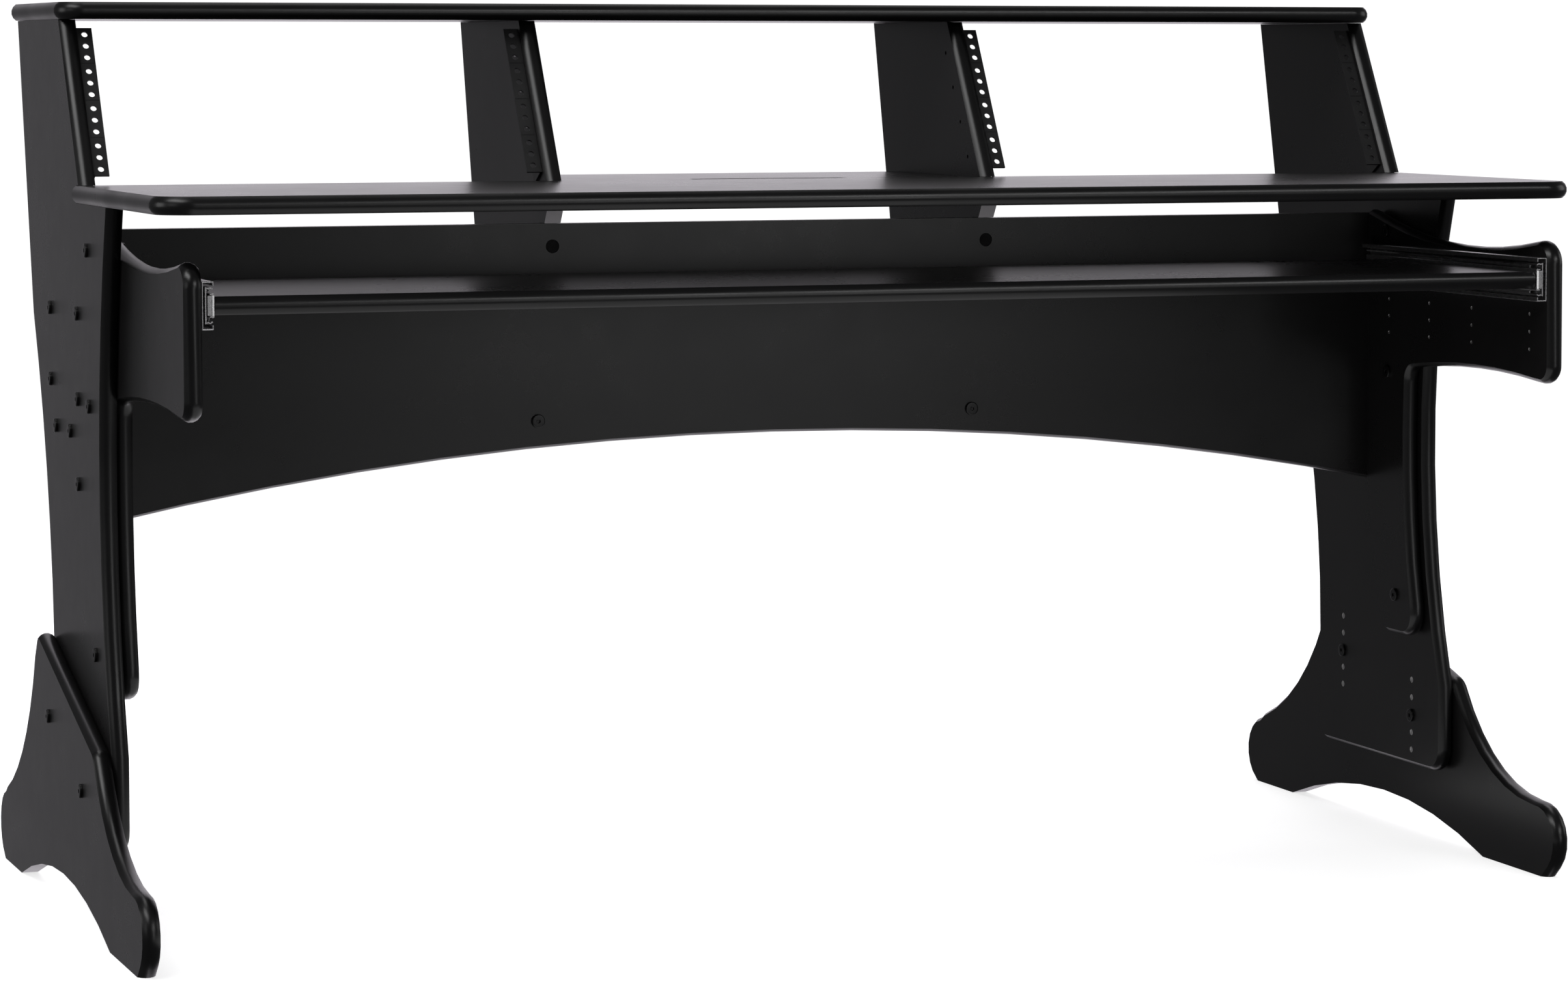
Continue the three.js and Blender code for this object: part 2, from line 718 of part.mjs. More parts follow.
function addFrontBolts(parent) {
  LACING_X.forEach((x, i) => {
    const name = `modesty_bolt_lower_${i + 1}`;
    const geometry = bolt(BOARD + END_DEPTH - 2, false);
    place(parent, name, geometry, boltBlack(), DIRECTIONS.front, x, APRON_FRONT - 0.1, LACING_Z);
  });
  CAM_X.forEach((x, i) => {
    const name = `modesty_cap_upper_${i + 1}`;
    const geometry = bolt(BOARD + END_DEPTH - 6, false);
    place(parent, name, geometry, boltBlack(), DIRECTIONS.front, x, APRON_FRONT + 3.7, CAM_Z);
  });
}

// ---------------------------------------------------------------- assembly

function addCarcass() {
  const carcass = new THREE.Group();
  carcass.name = 'carcass';
  desk.add(carcass);
  place(carcass, 'top_shelf', topShelf(), boardBlack(), AXES.flat, 0, 0, SHELF_BOTTOM);
  place(carcass, 'desktop', desktop(), boardBlack(), AXES.flat, 0, 0, DESK_BOTTOM);
  place(carcass, 'rear_floor', rearFloor(), boardBlack(), AXES.flat, 0, 0, DESK_BOTTOM);
  placePair(carcass, 'side_panel', sidePanel(), boardBlack(), PANEL_INNER);
  placePair(carcass, 'divider', divider(), boardBlack(), DIVIDER_INNER);
  place(carcass, 'arm_left', arm(-1), boardBlack(), AXES.side, -ARM_OUTER, 0, 0);
  place(carcass, 'arm_right', arm(1), boardBlack(), AXES.side, ARM_INNER, 0, 0);
  placePair(carcass, 'foot', foot(), boardBlack(), FOOT_INNER);
  place(carcass, 'modesty_panel', modestyPanel(), boardBlack(), AXES.front, 0, APRON_BACK, 0);
  const floorY = APRON_BACK + GAP;
  place(carcass, 'trough_floor', troughFloor(), boardBlack(), AXES.flat, 0, floorY, TROUGH_BOTTOM);
  place(carcass, 'trough_back', troughBack(), boardBlack(), AXES.front, 0, TROUGH_BACK, 0);
}

function addRails() {
  const rails = new THREE.Group();
  rails.name = 'rack_rails';
  desk.add(rails);
  addRail(rails, 'rack_rail_1', -PANEL_INNER, 1);
  addRail(rails, 'rack_rail_2', -DIVIDER_OUTER, -1);
  addRail(rails, 'rack_rail_3', DIVIDER_OUTER, 1);
  addRail(rails, 'rack_rail_4', PANEL_INNER, -1);
}

function addTray() {
  const sliding = new THREE.Group();
  sliding.name = 'keyboard_tray';
  desk.add(sliding);
  place(sliding, 'tray', tray(), boardBlack(), AXES.flat, 0, 0, TRAY_BOTTOM);
  for (const [side, label] of [[-1, 'left'], [1, 'right']]) {
    const front = SLIDE_FRONT;
    addSlide(desk, `slide_outer_${label}`, outerSection(), side, front, SLIDE_BACK);
    addSlide(desk, `slide_middle_${label}`, middleSection(), side, front + 2, SLIDE_BACK - 10);
    const length = SLIDE_BACK - 12 - front - 0.2;
    const stop = frontStop(side, length);
    addSlide(sliding, `slide_inner_${label}`, innerSection(), side, front + 0.2, SLIDE_BACK - 12, stop);
  }
}

function addBolts() {
  const bolts = new THREE.Group();
  bolts.name = 'bolts';
  desk.add(bolts);
  const through = 2 * BOARD + GAP + 0.2;
  const end = BOARD + END_DEPTH - 2;
  addSideBolts(bolts, 'arm_bolt', ARM_BOLTS, PANEL_OUTER, through, true);
  addSideBolts(bolts, 'foot_bolt', FOOT_BOLTS, FOOT_OUTER, through, true);
  addSideBolts(bolts, 'modesty_bolt', APRON_BOLTS, PANEL_OUTER, end, false);
  addSideBolts(bolts, 'trough_back_bolt', TROUGH_BACK_BOLTS, PANEL_OUTER, end, false);
  addSideBolts(bolts, 'trough_floor_bolt', TROUGH_FLOOR_BOLTS, PANEL_OUTER, end, false);
  addFrontBolts(bolts);
}

addCarcass();
addRails();
addTray();
addBolts();

export default desk;
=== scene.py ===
"""Looks of the computer desk with its rack hutch and sliding keyboard tray."""
import math

import bmesh
import bpy
from mathutils import Euler, Matrix, Vector


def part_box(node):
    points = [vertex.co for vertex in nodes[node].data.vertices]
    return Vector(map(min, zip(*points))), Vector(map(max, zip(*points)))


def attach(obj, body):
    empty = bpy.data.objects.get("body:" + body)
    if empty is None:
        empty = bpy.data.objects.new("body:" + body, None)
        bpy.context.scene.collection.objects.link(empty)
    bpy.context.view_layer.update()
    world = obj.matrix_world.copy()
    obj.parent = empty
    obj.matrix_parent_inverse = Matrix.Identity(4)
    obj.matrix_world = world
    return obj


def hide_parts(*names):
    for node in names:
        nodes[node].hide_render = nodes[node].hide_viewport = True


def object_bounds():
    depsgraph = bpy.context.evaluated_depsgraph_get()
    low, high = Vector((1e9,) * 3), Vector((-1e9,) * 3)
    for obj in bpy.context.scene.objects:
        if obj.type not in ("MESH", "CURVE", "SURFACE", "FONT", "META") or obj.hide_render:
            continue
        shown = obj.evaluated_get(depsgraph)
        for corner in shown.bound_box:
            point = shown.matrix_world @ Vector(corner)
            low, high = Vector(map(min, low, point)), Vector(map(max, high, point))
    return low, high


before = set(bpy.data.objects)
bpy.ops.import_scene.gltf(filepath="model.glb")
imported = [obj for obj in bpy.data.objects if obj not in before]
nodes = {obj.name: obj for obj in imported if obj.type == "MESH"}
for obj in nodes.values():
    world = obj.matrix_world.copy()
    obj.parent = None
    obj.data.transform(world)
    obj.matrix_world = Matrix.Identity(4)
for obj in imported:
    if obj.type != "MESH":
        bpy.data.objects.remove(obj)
cad_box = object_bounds()
scene = bpy.context.scene
MM = 0.001  # lengths that are multiplied by this are in millimetres, and all others in metres


# ---------------------------------------------------------------- node trees

MIX_FACTOR, MIX_FIRST, MIX_SECOND, MIX_COLOUR = 0, 6, 7, 2  # sockets of a Mix node set to RGBA
CELL_SMOOTHNESS = 0.6
CORNER_DOT = 0.93  # how far the rounded and the real normal agree at a corner
FLAT_DOT = 0.995  # and away from any corner


class Graph:
    """The node tree of a material or world, built with short calls."""

    def __init__(self, owner):
        owner.use_nodes = True
        self.tree = owner.node_tree
        self.tree.nodes.clear()

    def feed(self, socket, value):
        """Link another node's output to a socket, or set its plain number, vector or colour."""
        if isinstance(value, bpy.types.NodeSocket):
            self.tree.links.new(value, socket)
        elif socket.type == "RGBA":
            socket.default_value = (*value, 1.0)
        else:
            socket.default_value = value

    def node(self, kind, inputs=None, **settings):
        """A node with its settings, and its inputs fed by name or number."""
        made = self.tree.nodes.new(kind)
        for key, value in settings.items():
            setattr(made, key, value)
        for key, value in (inputs or {}).items():
            self.feed(made.inputs[key], value)
        return made

    def remap(self, value, low, high, to_low=0.0, to_high=1.0):
        """A smooth step from to_low at low to to_high at high."""
        inputs = {
            "Value": value,
            "From Min": low,
            "From Max": high,
            "To Min": to_low,
            "To Max": to_high,
        }
        made = self.node("ShaderNodeMapRange", inputs, interpolation_type="SMOOTHSTEP")
        return made.outputs["Result"]

    def blend(self, factor, first, second):
        """The first colour at factor 0 and the second at factor 1."""
        inputs = {MIX_FACTOR: factor, MIX_FIRST: first, MIX_SECOND: second}
        return self.node("ShaderNodeMix", inputs, data_type="RGBA").outputs[MIX_COLOUR]

    def sum(self, first, second):
        return self.node("ShaderNodeMath", {0: first, 1: second}, operation="ADD").outputs[0]

    def times(self, first, second):
        return self.node("ShaderNodeMath", {0: first, 1: second}, operation="MULTIPLY").outputs[0]

    def vector(self, operation, first, second=None):
        """A Vector Math node of one or two vectors."""
        inputs = {0: first} if second is None else {0: first, 1: second}
        return self.node("ShaderNodeVectorMath", inputs, operation=operation)


class Look(Graph):
    """A material and its pattern, in object coordinates."""

    def __init__(self, name):
        self.material = bpy.data.materials.new(name)
        super().__init__(self.material)

    def coords(self, stretch=(1.0, 1.0, 1.0)):
        """Object coordinates in metres, scaled down where a grain runs along one axis."""
        source = self.node("ShaderNodeTexCoord").outputs["Object"]
        if stretch == (1.0, 1.0, 1.0):
            return source
        mapping = self.node("ShaderNodeMapping", {"Vector": source, "Scale": stretch})
        return mapping.outputs["Vector"]

    def noise(self, scale, detail, rough, stretch=(1.0, 1.0, 1.0), shift=0.0):
        """Noise around 0.5. Another shift gives another pattern."""
        inputs = {
            "Vector": self.coords(stretch),
            "W": shift,
            "Scale": scale,
            "Detail": detail,
            "Roughness": rough,
        }
        made = self.node("ShaderNodeTexNoise", inputs, noise_dimensions="4D")
        return made.outputs["Fac"]

    def cells(self, scale, feature="F1"):
        """Distance to the nearest of many scattered points."""
        inputs = {"Vector": self.coords(), "Scale": scale}
        if feature == "SMOOTH_F1":
            inputs["Smoothness"] = CELL_SMOOTHNESS
        return self.node("ShaderNodeTexVoronoi", inputs, feature=feature).outputs["Distance"]

    def bump(self, height, distance, strength, under=None):
        """A bumped normal, on top of another one where under is given."""
        inputs = {"Height": height, "Distance": distance, "Strength": strength}
        if under is not None:
            inputs["Normal"] = under
        return self.node("ShaderNodeBump", inputs).outputs["Normal"]

    def edges(self, radius):
        """1 at sharp corners, within a radius, and 0 elsewhere."""
        rounded = self.node("ShaderNodeBevel", {"Radius": radius}, samples=4)
        flat = self.node("ShaderNodeNewGeometry").outputs["Normal"]
        dot = self.vector("DOT_PRODUCT", rounded.outputs["Normal"], flat)
        return self.remap(dot.outputs["Value"], FLAT_DOT, CORNER_DOT)

    def finish(self, inputs):
        """The material, with a Principled shader that has these inputs."""
        shader = self.node("ShaderNodeBsdfPrincipled", inputs)
        self.node("ShaderNodeOutputMaterial", {"Surface": shader.outputs["BSDF"]})
        return self.material


# ---------------------------------------------------------------- materials

def laminate():
    """Black melamine face with a fine pearl grain and soft hand marks."""
    look = Look("board_face")
    patches = look.noise(5.0, 3.0, 0.5)
    streaks = look.noise(34.0, 4.0, 0.6, shift=2.0)
    grain = look.noise(1500.0, 2.0, 0.6, shift=4.0)
    pearl = look.cells(760.0, "SMOOTH_F1")
    specks = look.remap(look.noise(620.0, 1.0, 0.5, shift=7.0), 0.66, 0.74)
    wear = look.edges(0.0009)
    shade = look.remap(look.sum(patches, look.times(streaks, 0.35)), 0.45, 0.95)
    colour = look.blend(shade, (0.0098, 0.0094, 0.0096), (0.0132, 0.0126, 0.0130))
    colour = look.blend(look.times(specks, 0.10), colour, (0.024, 0.023, 0.024))
    colour = look.blend(look.times(wear, 0.30), colour, (0.026, 0.025, 0.026))
    rough = look.remap(look.sum(patches, streaks), 0.70, 1.30, 0.27, 0.30)
    rough = look.sum(rough, look.times(wear, -0.06))
    height = look.sum(grain, look.times(pearl, 0.8))
    return look.finish({
        "Base Color": colour,
        "Roughness": rough,
        "Normal": look.bump(height, 0.00004, 0.10),
        "IOR": 1.5,
        "Specular IOR Level": 0.42,
    })


def lacquer():
    """Deep black satin paint on the shaped and the square edges."""
    look = Look("board_edge")
    patches = look.noise(9.0, 3.0, 0.5, shift=1.0)
    waves = look.noise(130.0, 2.0, 0.5, shift=3.0)
    grain = look.noise(1100.0, 2.0, 0.6, shift=5.0)
    rubs = look.remap(look.noise(48.0, 5.0, 0.7, shift=8.0), 0.60, 0.78)
    wear = look.edges(0.0009)
    colour = look.blend(patches, (0.0022, 0.0021, 0.0022), (0.0040, 0.0038, 0.0040))
    scuff = look.times(wear, look.sum(rubs, 0.55))
    colour = look.blend(look.times(scuff, 0.4), colour, (0.030, 0.028, 0.029))
    rough = look.sum(look.remap(patches, 0.3, 0.7, 0.27, 0.34), look.times(rubs, 0.05))
    fine = look.bump(grain, 0.00003, 0.3)
    return look.finish({
        "Base Color": colour,
        "Roughness": rough,
        "Normal": look.bump(waves, 0.00012, 0.35, fine),
        "IOR": 1.5,
        "Specular IOR Level": 0.5,
    })


def powder_coat():
    """Black powder coat on the rack rails, with worn rims round the holes."""
    look = Look("rail_black")
    patches = look.noise(22.0, 3.0, 0.5)
    peel = look.noise(520.0, 2.0, 0.55, shift=2.0)
    grit = look.noise(1900.0, 1.0, 0.5, shift=4.0)
    wear = look.edges(0.0006)
    worn = look.times(wear, look.remap(look.noise(90.0, 4.0, 0.7, shift=6.0), 0.45, 0.68))
    colour = look.blend(patches, (0.0130, 0.0129, 0.0131), (0.0170, 0.0168, 0.0170))
    colour = look.blend(look.times(worn, 0.55), colour, (0.075, 0.073, 0.072))
    rough = look.remap(patches, 0.3, 0.7, 0.38, 0.46)
    fine = look.bump(grit, 0.00003, 0.3)
    return look.finish({
        "Base Color": colour,
        "Roughness": rough,
        "Normal": look.bump(peel, 0.00010, 0.45, fine),
        "IOR": 1.5,
        "Specular IOR Level": 0.5,
    })


def zinc():
    """Bright zinc plate, drawn along the slides, with a few dull patches."""
    look = Look("zinc_steel")
    drawn = look.noise(900.0, 3.0, 0.6, stretch=(1.0, 0.012, 1.0))
    patches = look.noise(70.0, 3.0, 0.5, shift=2.0)
    spots = look.remap(look.cells(160.0), 0.10, 0.03)
    wear = look.edges(0.0005)
    colour = look.blend(look.remap(patches, 0.35, 0.7), (0.70, 0.695, 0.70), (0.76, 0.755, 0.76))
    colour = look.blend(look.times(spots, 0.10), colour, (0.55, 0.55, 0.54))
    colour = look.blend(look.times(wear, 0.5), colour, (0.80, 0.80, 0.80))
    rough = look.sum(look.remap(drawn, 0.3, 0.7, 0.22, 0.30), look.times(patches, 0.06))
    return look.finish({
        "Base Color": colour,
        "Metallic": 1.0,
        "Roughness": rough,
        "Normal": look.bump(drawn, 0.00003, 0.3),
    })


def satin_paint():
    """Satin black paint of the bolt heads, rubbed brighter on the rims."""
    look = Look("bolt_black")
    patches = look.noise(260.0, 3.0, 0.6)
    grain = look.noise(2400.0, 2.0, 0.5, shift=2.0)
    wear = look.edges(0.0005)
    colour = look.blend(patches, (0.0028, 0.0027, 0.0028), (0.0050, 0.0048, 0.0049))
    colour = look.blend(look.times(wear, 0.3), colour, (0.035, 0.034, 0.033))
    return look.finish({
        "Base Color": colour,
        "Roughness": look.remap(patches, 0.3, 0.7, 0.27, 0.32),
        "Normal": look.bump(grain, 0.00002, 0.2),
        "IOR": 1.5,
        "Specular IOR Level": 0.42,
    })


def dull_nickel():
    """Satin nickel of the threaded inserts in the spare holes."""
    look = Look("insert_nickel")
    patches = look.noise(180.0, 3.0, 0.6)
    turned = look.noise(2600.0, 2.0, 0.6, stretch=(0.3, 1.0, 1.0), shift=2.0)
    wear = look.edges(0.0003)
    colour = look.blend(patches, (0.46, 0.45, 0.45), (0.58, 0.57, 0.57))
    colour = look.blend(look.times(wear, 0.6), colour, (0.72, 0.71, 0.70))
    return look.finish({
        "Base Color": colour,
        "Metallic": 1.0,
        "Roughness": look.remap(patches, 0.3, 0.7, 0.44, 0.56),
        "Normal": look.bump(turned, 0.00002, 0.4),
    })


def cap_plastic():
    """Matt black plastic of the press-in caps."""
    look = Look("cap_plastic")
    patches = look.noise(300.0, 3.0, 0.6)
    grain = look.noise(2200.0, 2.0, 0.6, shift=2.0)
    return look.finish({
        "Base Color": look.blend(patches, (0.0018, 0.0018, 0.0018), (0.0034, 0.0033, 0.0034)),
        "Roughness": look.remap(patches, 0.3, 0.7, 0.50, 0.62),
        "Normal": look.bump(grain, 0.00003, 0.4),
        "IOR": 1.5,
        "Specular IOR Level": 0.22,
    })


def bare_edge_floor_reflection():
    """Pale grey on the dividers' bare slanted edges: partly the bare fibreboard's own tone, partly
    a painted reflection of the white floor that these down-facing facets look at.
    """
    look = Look("bare_edge_floor_reflection")
    fibres = look.noise(420.0, 5.0, 0.7, stretch=(1.0, 1.0, 2.5))
    layers = look.noise(60.0, 3.0, 0.6, shift=3.0)
    mix = look.sum(look.times(fibres, 0.5), look.times(layers, 0.5))
    return look.finish({
        "Base Color": look.blend(mix, (0.38, 0.36, 0.38), (0.48, 0.46, 0.48)),
        "Roughness": look.remap(fibres, 0.3, 0.7, 0.55, 0.75),
        "Normal": look.bump(fibres, 0.0001, 0.4),
        "IOR": 1.5,
        "Specular IOR Level": 0.4,
    })


def floor_white():
    """Pale matt floor with the faintest mottle, a little brighter away from the desk."""
    look = Look("floor_white")
    tone = look.noise(1.3, 4.0, 0.5)
    grain = look.noise(240.0, 2.0, 0.5, shift=1.0)
    length = look.vector("LENGTH", look.coords())
    glow = look.remap(length.outputs["Value"], 0.9, 2.6, 0.74, 1.05)
    colour = look.blend(tone, (0.87, 0.87, 0.87), (0.90, 0.90, 0.90))
    return look.finish({
        "Base Color": colour,
        "Roughness": 0.75,
        "Specular IOR Level": 0.1,
        "Normal": look.bump(grain, 0.0001, 0.2),
        "Emission Color": (1.0, 1.0, 1.0),
        "Emission Strength": glow,
    })


FACE = laminate()
EDGE = lacquer()
RAIL = powder_coat()
ZINC = zinc()
BOLT = satin_paint()
NICKEL = dull_nickel()
CAP = cap_plastic()
# pale grey of the bare slanted edges, partly a painted reflection of the white floor
BARE_EDGE_FLOOR_REFLECTION = bare_edge_floor_reflection()


# ---------------------------------------------------------------- CAD nodes

THICKNESS_AXIS = {  # the axis along which each board is 18 mm thick
    "top_shelf": 2, "desktop": 2, "rear_floor": 2, "trough_floor": 2, "tray": 2,
    "modesty_panel": 1, "trough_back": 1,
    "side_panel_left": 0, "side_panel_right": 0, "divider_left": 0, "divider_right": 0,
    "arm_left": 0, "arm_right": 0, "foot_left": 0, "foot_right": 0,
}
FACE_DOT = 0.995  # a facet that faces the thickness at least this squarely is a face
SHEET_BEND = 0.00045  # rounding of the slides' rolled steel
ROUNDED = ("slide_outer", "slide_inner")
SAME_PLANE = math.radians(1.0)
SHEET_CORNER = math.radians(20.0)
CAD_ANGLE = 35.0  # CAD facets that meet at less than this, in degrees, shade as one surface
WELD = 0.00001
BARE_HEIGHTS = (0.712, 0.741)  # from the modesty panel's top to the desktop's underside


def smooth(obj, angle, bend=0.0):
    """Smooth shading between facets that meet at less than the angle, in degrees. A bend
    rounds the sharp corners to that radius."""
    for polygon in obj.data.polygons:
        polygon.use_smooth = True
    weld = obj.modifiers.new("weld", "WELD")
    weld.merge_threshold = WELD
    if bend:
        facets = obj.modifiers.new("facets", "DECIMATE")
        facets.decimate_type = "DISSOLVE"
        facets.angle_limit = SAME_PLANE
        bends = obj.modifiers.new("bends", "BEVEL")
        bends.width = bend
        bends.segments = 3
        bends.limit_method = "ANGLE"
        bends.angle_limit = SHEET_CORNER
    split = obj.modifiers.new("split", "EDGE_SPLIT")
    split.split_angle = math.radians(angle)
    even = obj.modifiers.new("even", "WEIGHTED_NORMAL")
    even.mode = "FACE_AREA"
    even.weight = 80
    even.thresh = 0.001


def paint(obj, *materials):
    obj.data.materials.clear()
    for material in materials:
        obj.data.materials.append(material)


def paint_board(obj, axis):
    """The two flat faces get the laminate and every edge the lacquer."""
    paint(obj, FACE, EDGE)
    for polygon in obj.data.polygons:
        polygon.material_index = 0 if abs(polygon.normal[axis]) > FACE_DOT else 1


def paint_bare_edge_floor_reflection(obj):
    """A divider's edge that slants back under the desktop is bare board, and its pale grey is
    partly a painted reflection of the white floor.
    """
    obj.data.materials.append(BARE_EDGE_FLOOR_REFLECTION)
    low, high = BARE_HEIGHTS
    for polygon in obj.data.polygons:
        slants = polygon.normal.y < -0.5 and polygon.normal.z < -0.3
        if slants and low < polygon.center.z < high:
            polygon.material_index = 2


for name, obj in nodes.items():
    if name in THICKNESS_AXIS:
        paint_board(obj, THICKNESS_AXIS[name])
        if name.startswith("divider"):
            # the slanted bare edge gets the pale grey with the floor's reflection painted in
            paint_bare_edge_floor_reflection(obj)
    elif name.startswith("rack_rail"):
        paint(obj, RAIL)
    elif name.startswith("slide"):
        paint(obj, ZINC)
    else:
        paint(obj, BOLT)
    smooth(obj, CAD_ANGLE, SHEET_BEND if name.startswith(ROUNDED) else 0.0)


# ---------------------------------------------------------------- turned pieces

TURNED_ANGLE = 38.0  # the same limit for turned pieces
SIDES = (("left", -1), ("right", 1))


def inner_face(node, sign):
    """The X of an upright board's face towards the middle of the desk, in metres."""
    low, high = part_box(node)
    return low.x if sign > 0 else high.x


def mesh_object(name, work, material, angle=None):
    """An object from a working mesh, smooth where an angle is given."""
    mesh = bpy.data.meshes.new(name)
    bmesh.ops.recalc_face_normals(work, faces=work.faces)
    work.to_mesh(mesh)
    work.free()
    obj = bpy.data.objects.new(name, mesh)
    scene.collection.objects.link(obj)
    mesh.materials.append(material)
    if angle is not None:
        smooth(obj, angle)
    return obj


def frame_along(origin, direction):
    """The matrix that takes +Z to the direction and 0 to the origin, in metres."""
    turn = Vector(direction).to_track_quat("Z", "Y").to_matrix().to_4x4()
    return Matrix.Translation(origin) @ turn


def rings(work, matrix, profile, sides):
    """A closed turned body. Each profile entry is (radius, height) in millimetres, or
    (flat, height, "hex") for a ring of six flats at that distance from the axis."""
    loops = []
    for entry in profile:
        loop = []
        for k in range(sides):
            turn = 2 * math.pi * k / sides
            radius = entry[0]
            if len(entry) == 3:
                sixth = math.pi / 3
                radius /= math.cos((turn + sixth / 2) % sixth - sixth / 2)
            point = Vector((radius * math.cos(turn), radius * math.sin(turn), entry[1]))
            loop.append(work.verts.new(matrix @ (point * MM)))
        loops.append(loop)
    for low, high in zip(loops, loops[1:]):
        for k in range(sides):
            j = (k + 1) % sides
            work.faces.new((low[k], low[j], high[j], high[k]))
    for loop, entry in ((loops[0], profile[0]), (loops[-1], profile[-1])):
        centre = work.verts.new(matrix @ Vector((0, 0, entry[1] * MM)))
        for k in range(sides):
            work.faces.new((loop[k], loop[(k + 1) % sides], centre))


# ---------------------------------------------------------------- bolts

HEAD = 7.25  # head radius
HEAD_HEIGHT = 2.8
SHANK = 3.0  # shank radius
TIP_IN, TIP_UP = 0.6, 0.8  # chamfer at the end of a shank
SEAM = 0.2  # rings this close to a shank's corners keep its shading straight
BOLT_SIDES = 36
FLAT_HEAD = [  # a flat head with a hexagon socket, from its bearing face up
    (HEAD - 0.25, 0.0), (HEAD, 0.2), (HEAD, 2.1), (HEAD - 0.12, 2.42), (HEAD - 0.42, 2.66),
    (HEAD - 0.85, 2.76), (HEAD - 1.6, HEAD_HEIGHT), (2.2, HEAD_HEIGHT, "hex"),
    (2.0, 2.6, "hex"), (2.0, 1.0, "hex"), (1.3, 0.8),
]


def make_bolt(node):
    """A finely turned bolt in the place of a CAD one. Bolts through two boards have a head
    at both ends, and bolts into a board's end have one."""
    low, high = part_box(node)
    size = high - low
    middle = (low + high) / 2
    if size.x > size.y:
        out = Vector((math.copysign(1, middle.x), 0, 0))
    else:
        out = Vector((0, -1, 0))
    length = max(size.x, size.y) / MM
    two_heads = node.startswith("foot_bolt") or node.startswith("arm_bolt")
    grip = length - (2 * HEAD_HEIGHT if two_heads else HEAD_HEIGHT)
    face = middle + out * (length / 2 - HEAD_HEIGHT) * MM
    if two_heads:
        profile = [(r, -grip - h, *rest) for r, h, *rest in reversed(FLAT_HEAD)]
    else:
        profile = [(SHANK - TIP_IN, -grip), (SHANK, -grip + TIP_UP)]
    profile += [(SHANK, -grip + TIP_UP + SEAM), (SHANK, -SEAM), (SHANK, 0.0)] + FLAT_HEAD
    work = bmesh.new()
    rings(work, frame_along(face, out), profile, BOLT_SIDES)
    piece = mesh_object("bolt_" + node, work, BOLT, TURNED_ANGLE)
    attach(piece, "desk")
    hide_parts(node)


for name in sorted(nodes):
    if "_bolt_" in name:
        make_bolt(name)


CAP_PROFILE = [(6.9, 0.0), (7.05, 0.1), (7.05, 0.35), (6.8, 0.6), (6.3, 0.62), (6.1, 0.5)]
CAP_SIDES = 48
CAP_ANGLE = 40.0
CAP_GAP = 0.0001  # between the CAD cap and this one
PIP_PROFILE = [(0.30, 0.0), (0.26, 0.08), (0.14, 0.13)]
PIP_SIDES = 8
PIP_RINGS = 6
PIP_STEP = 0.88  # from one ring of pips to the next
PIP_HEIGHT = 0.48


def make_cap(node):
    """A press-in cap, finely pipped within its rim, on the face of the CAD one."""
    low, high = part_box(node)
    middle = (low + high) / 2
    face = Vector((middle.x, low.y - CAP_GAP, middle.z))
    matrix = frame_along(face, (0, -1, 0))
    work = bmesh.new()
    rings(work, matrix, CAP_PROFILE, CAP_SIDES)
    for ring in range(1, PIP_RINGS + 1):
        count = ring * 6
        radius = ring * PIP_STEP
        for k in range(count):
            turn = 2 * math.pi * (k + 0.5 * (ring % 2)) / count
            spot = Vector((radius * math.cos(turn), radius * math.sin(turn), PIP_HEIGHT))
            rings(work, matrix @ Matrix.Translation(spot * MM), PIP_PROFILE, PIP_SIDES)
    piece = mesh_object("cap_" + node, work, CAP, CAP_ANGLE)
    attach(piece, "desk")


make_cap("modesty_cap_upper_1")
make_cap("modesty_cap_upper_2")


# ---------------------------------------------------------------- threaded inserts

PANEL_COLUMNS = (  # depth and height of each foot bolt, and its spare holes above and below
    (109.8, 195.5, (40.5, 20.5, -19.8, -39.8)),
    (-65.2, 141.7, (40.7, 20.5, -19.7, -39.6)),
)
ARM_COLUMNS = (-38.7, -137.0, -237.2, -368.7)  # depths of the spare holes for the slides
ARM_ROWS = (616.3, 597.3, 578.3)
PANEL_INSERT = 3.7
ARM_INSERT = 2.15
INSERT_SIDES = 24


def insert(work, x, y, z, inward, radius):
    """A flush insert with a dished face that looks inward, placed in millimetres."""
    place = Vector((x * MM, y * MM, z * MM))
    profile = [
        (radius * 0.8, -6.0), (radius, -5.6), (radius, -0.35), (radius * 0.93, -0.1),
        (radius * 0.78, -0.1), (radius * 0.70, -0.35), (radius * 0.35, -0.42),
    ]
    rings(work, frame_along(place, (inward, 0, 0)), profile, INSERT_SIDES)


def make_inserts(side, sign):
    """The inserts in the spare holes of a side panel and its arm."""
    panel_face = inner_face("side_panel_" + side, sign) / MM
    arm_face = inner_face("arm_" + side, sign) / MM
    work = bmesh.new()
    for y, z, steps in PANEL_COLUMNS:
        for step in steps:
            insert(work, panel_face, y, z + step, -sign, PANEL_INSERT)
    for y in ARM_COLUMNS:
        for z in ARM_ROWS:
            insert(work, arm_face, y, z, -sign, ARM_INSERT)
    piece = mesh_object("inserts_" + side, work, NICKEL, TURNED_ANGLE)
    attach(piece, "desk")


for side, sign in SIDES:
    make_inserts(side, sign)


# ---------------------------------------------------------------- rack rails

UNIT = 44.45  # one rack unit
GAPS = 3  # between the four rack units of a rail
SLOPE = math.radians(30.0)
TOP_HOLE_DEPTH, TOP_HOLE_HEIGHT = 0.1058, 0.915  # centre of a rail's top hole
MARK_DOWN = 34.9  # from the top hole down to the first line
MARK_HALF = 0.35
MARK_BACK, MARK_FRONT = -0.1, 0.05  # from the rail's front face
MARK_INSET = 0.0004  # from the rail's sides
BAR_FACES = ((3, 2, 1, 0), (4, 5, 6, 7), (0, 1, 5, 4), (1, 2, 6, 5), (2, 3, 7, 6), (3, 0, 4, 7))


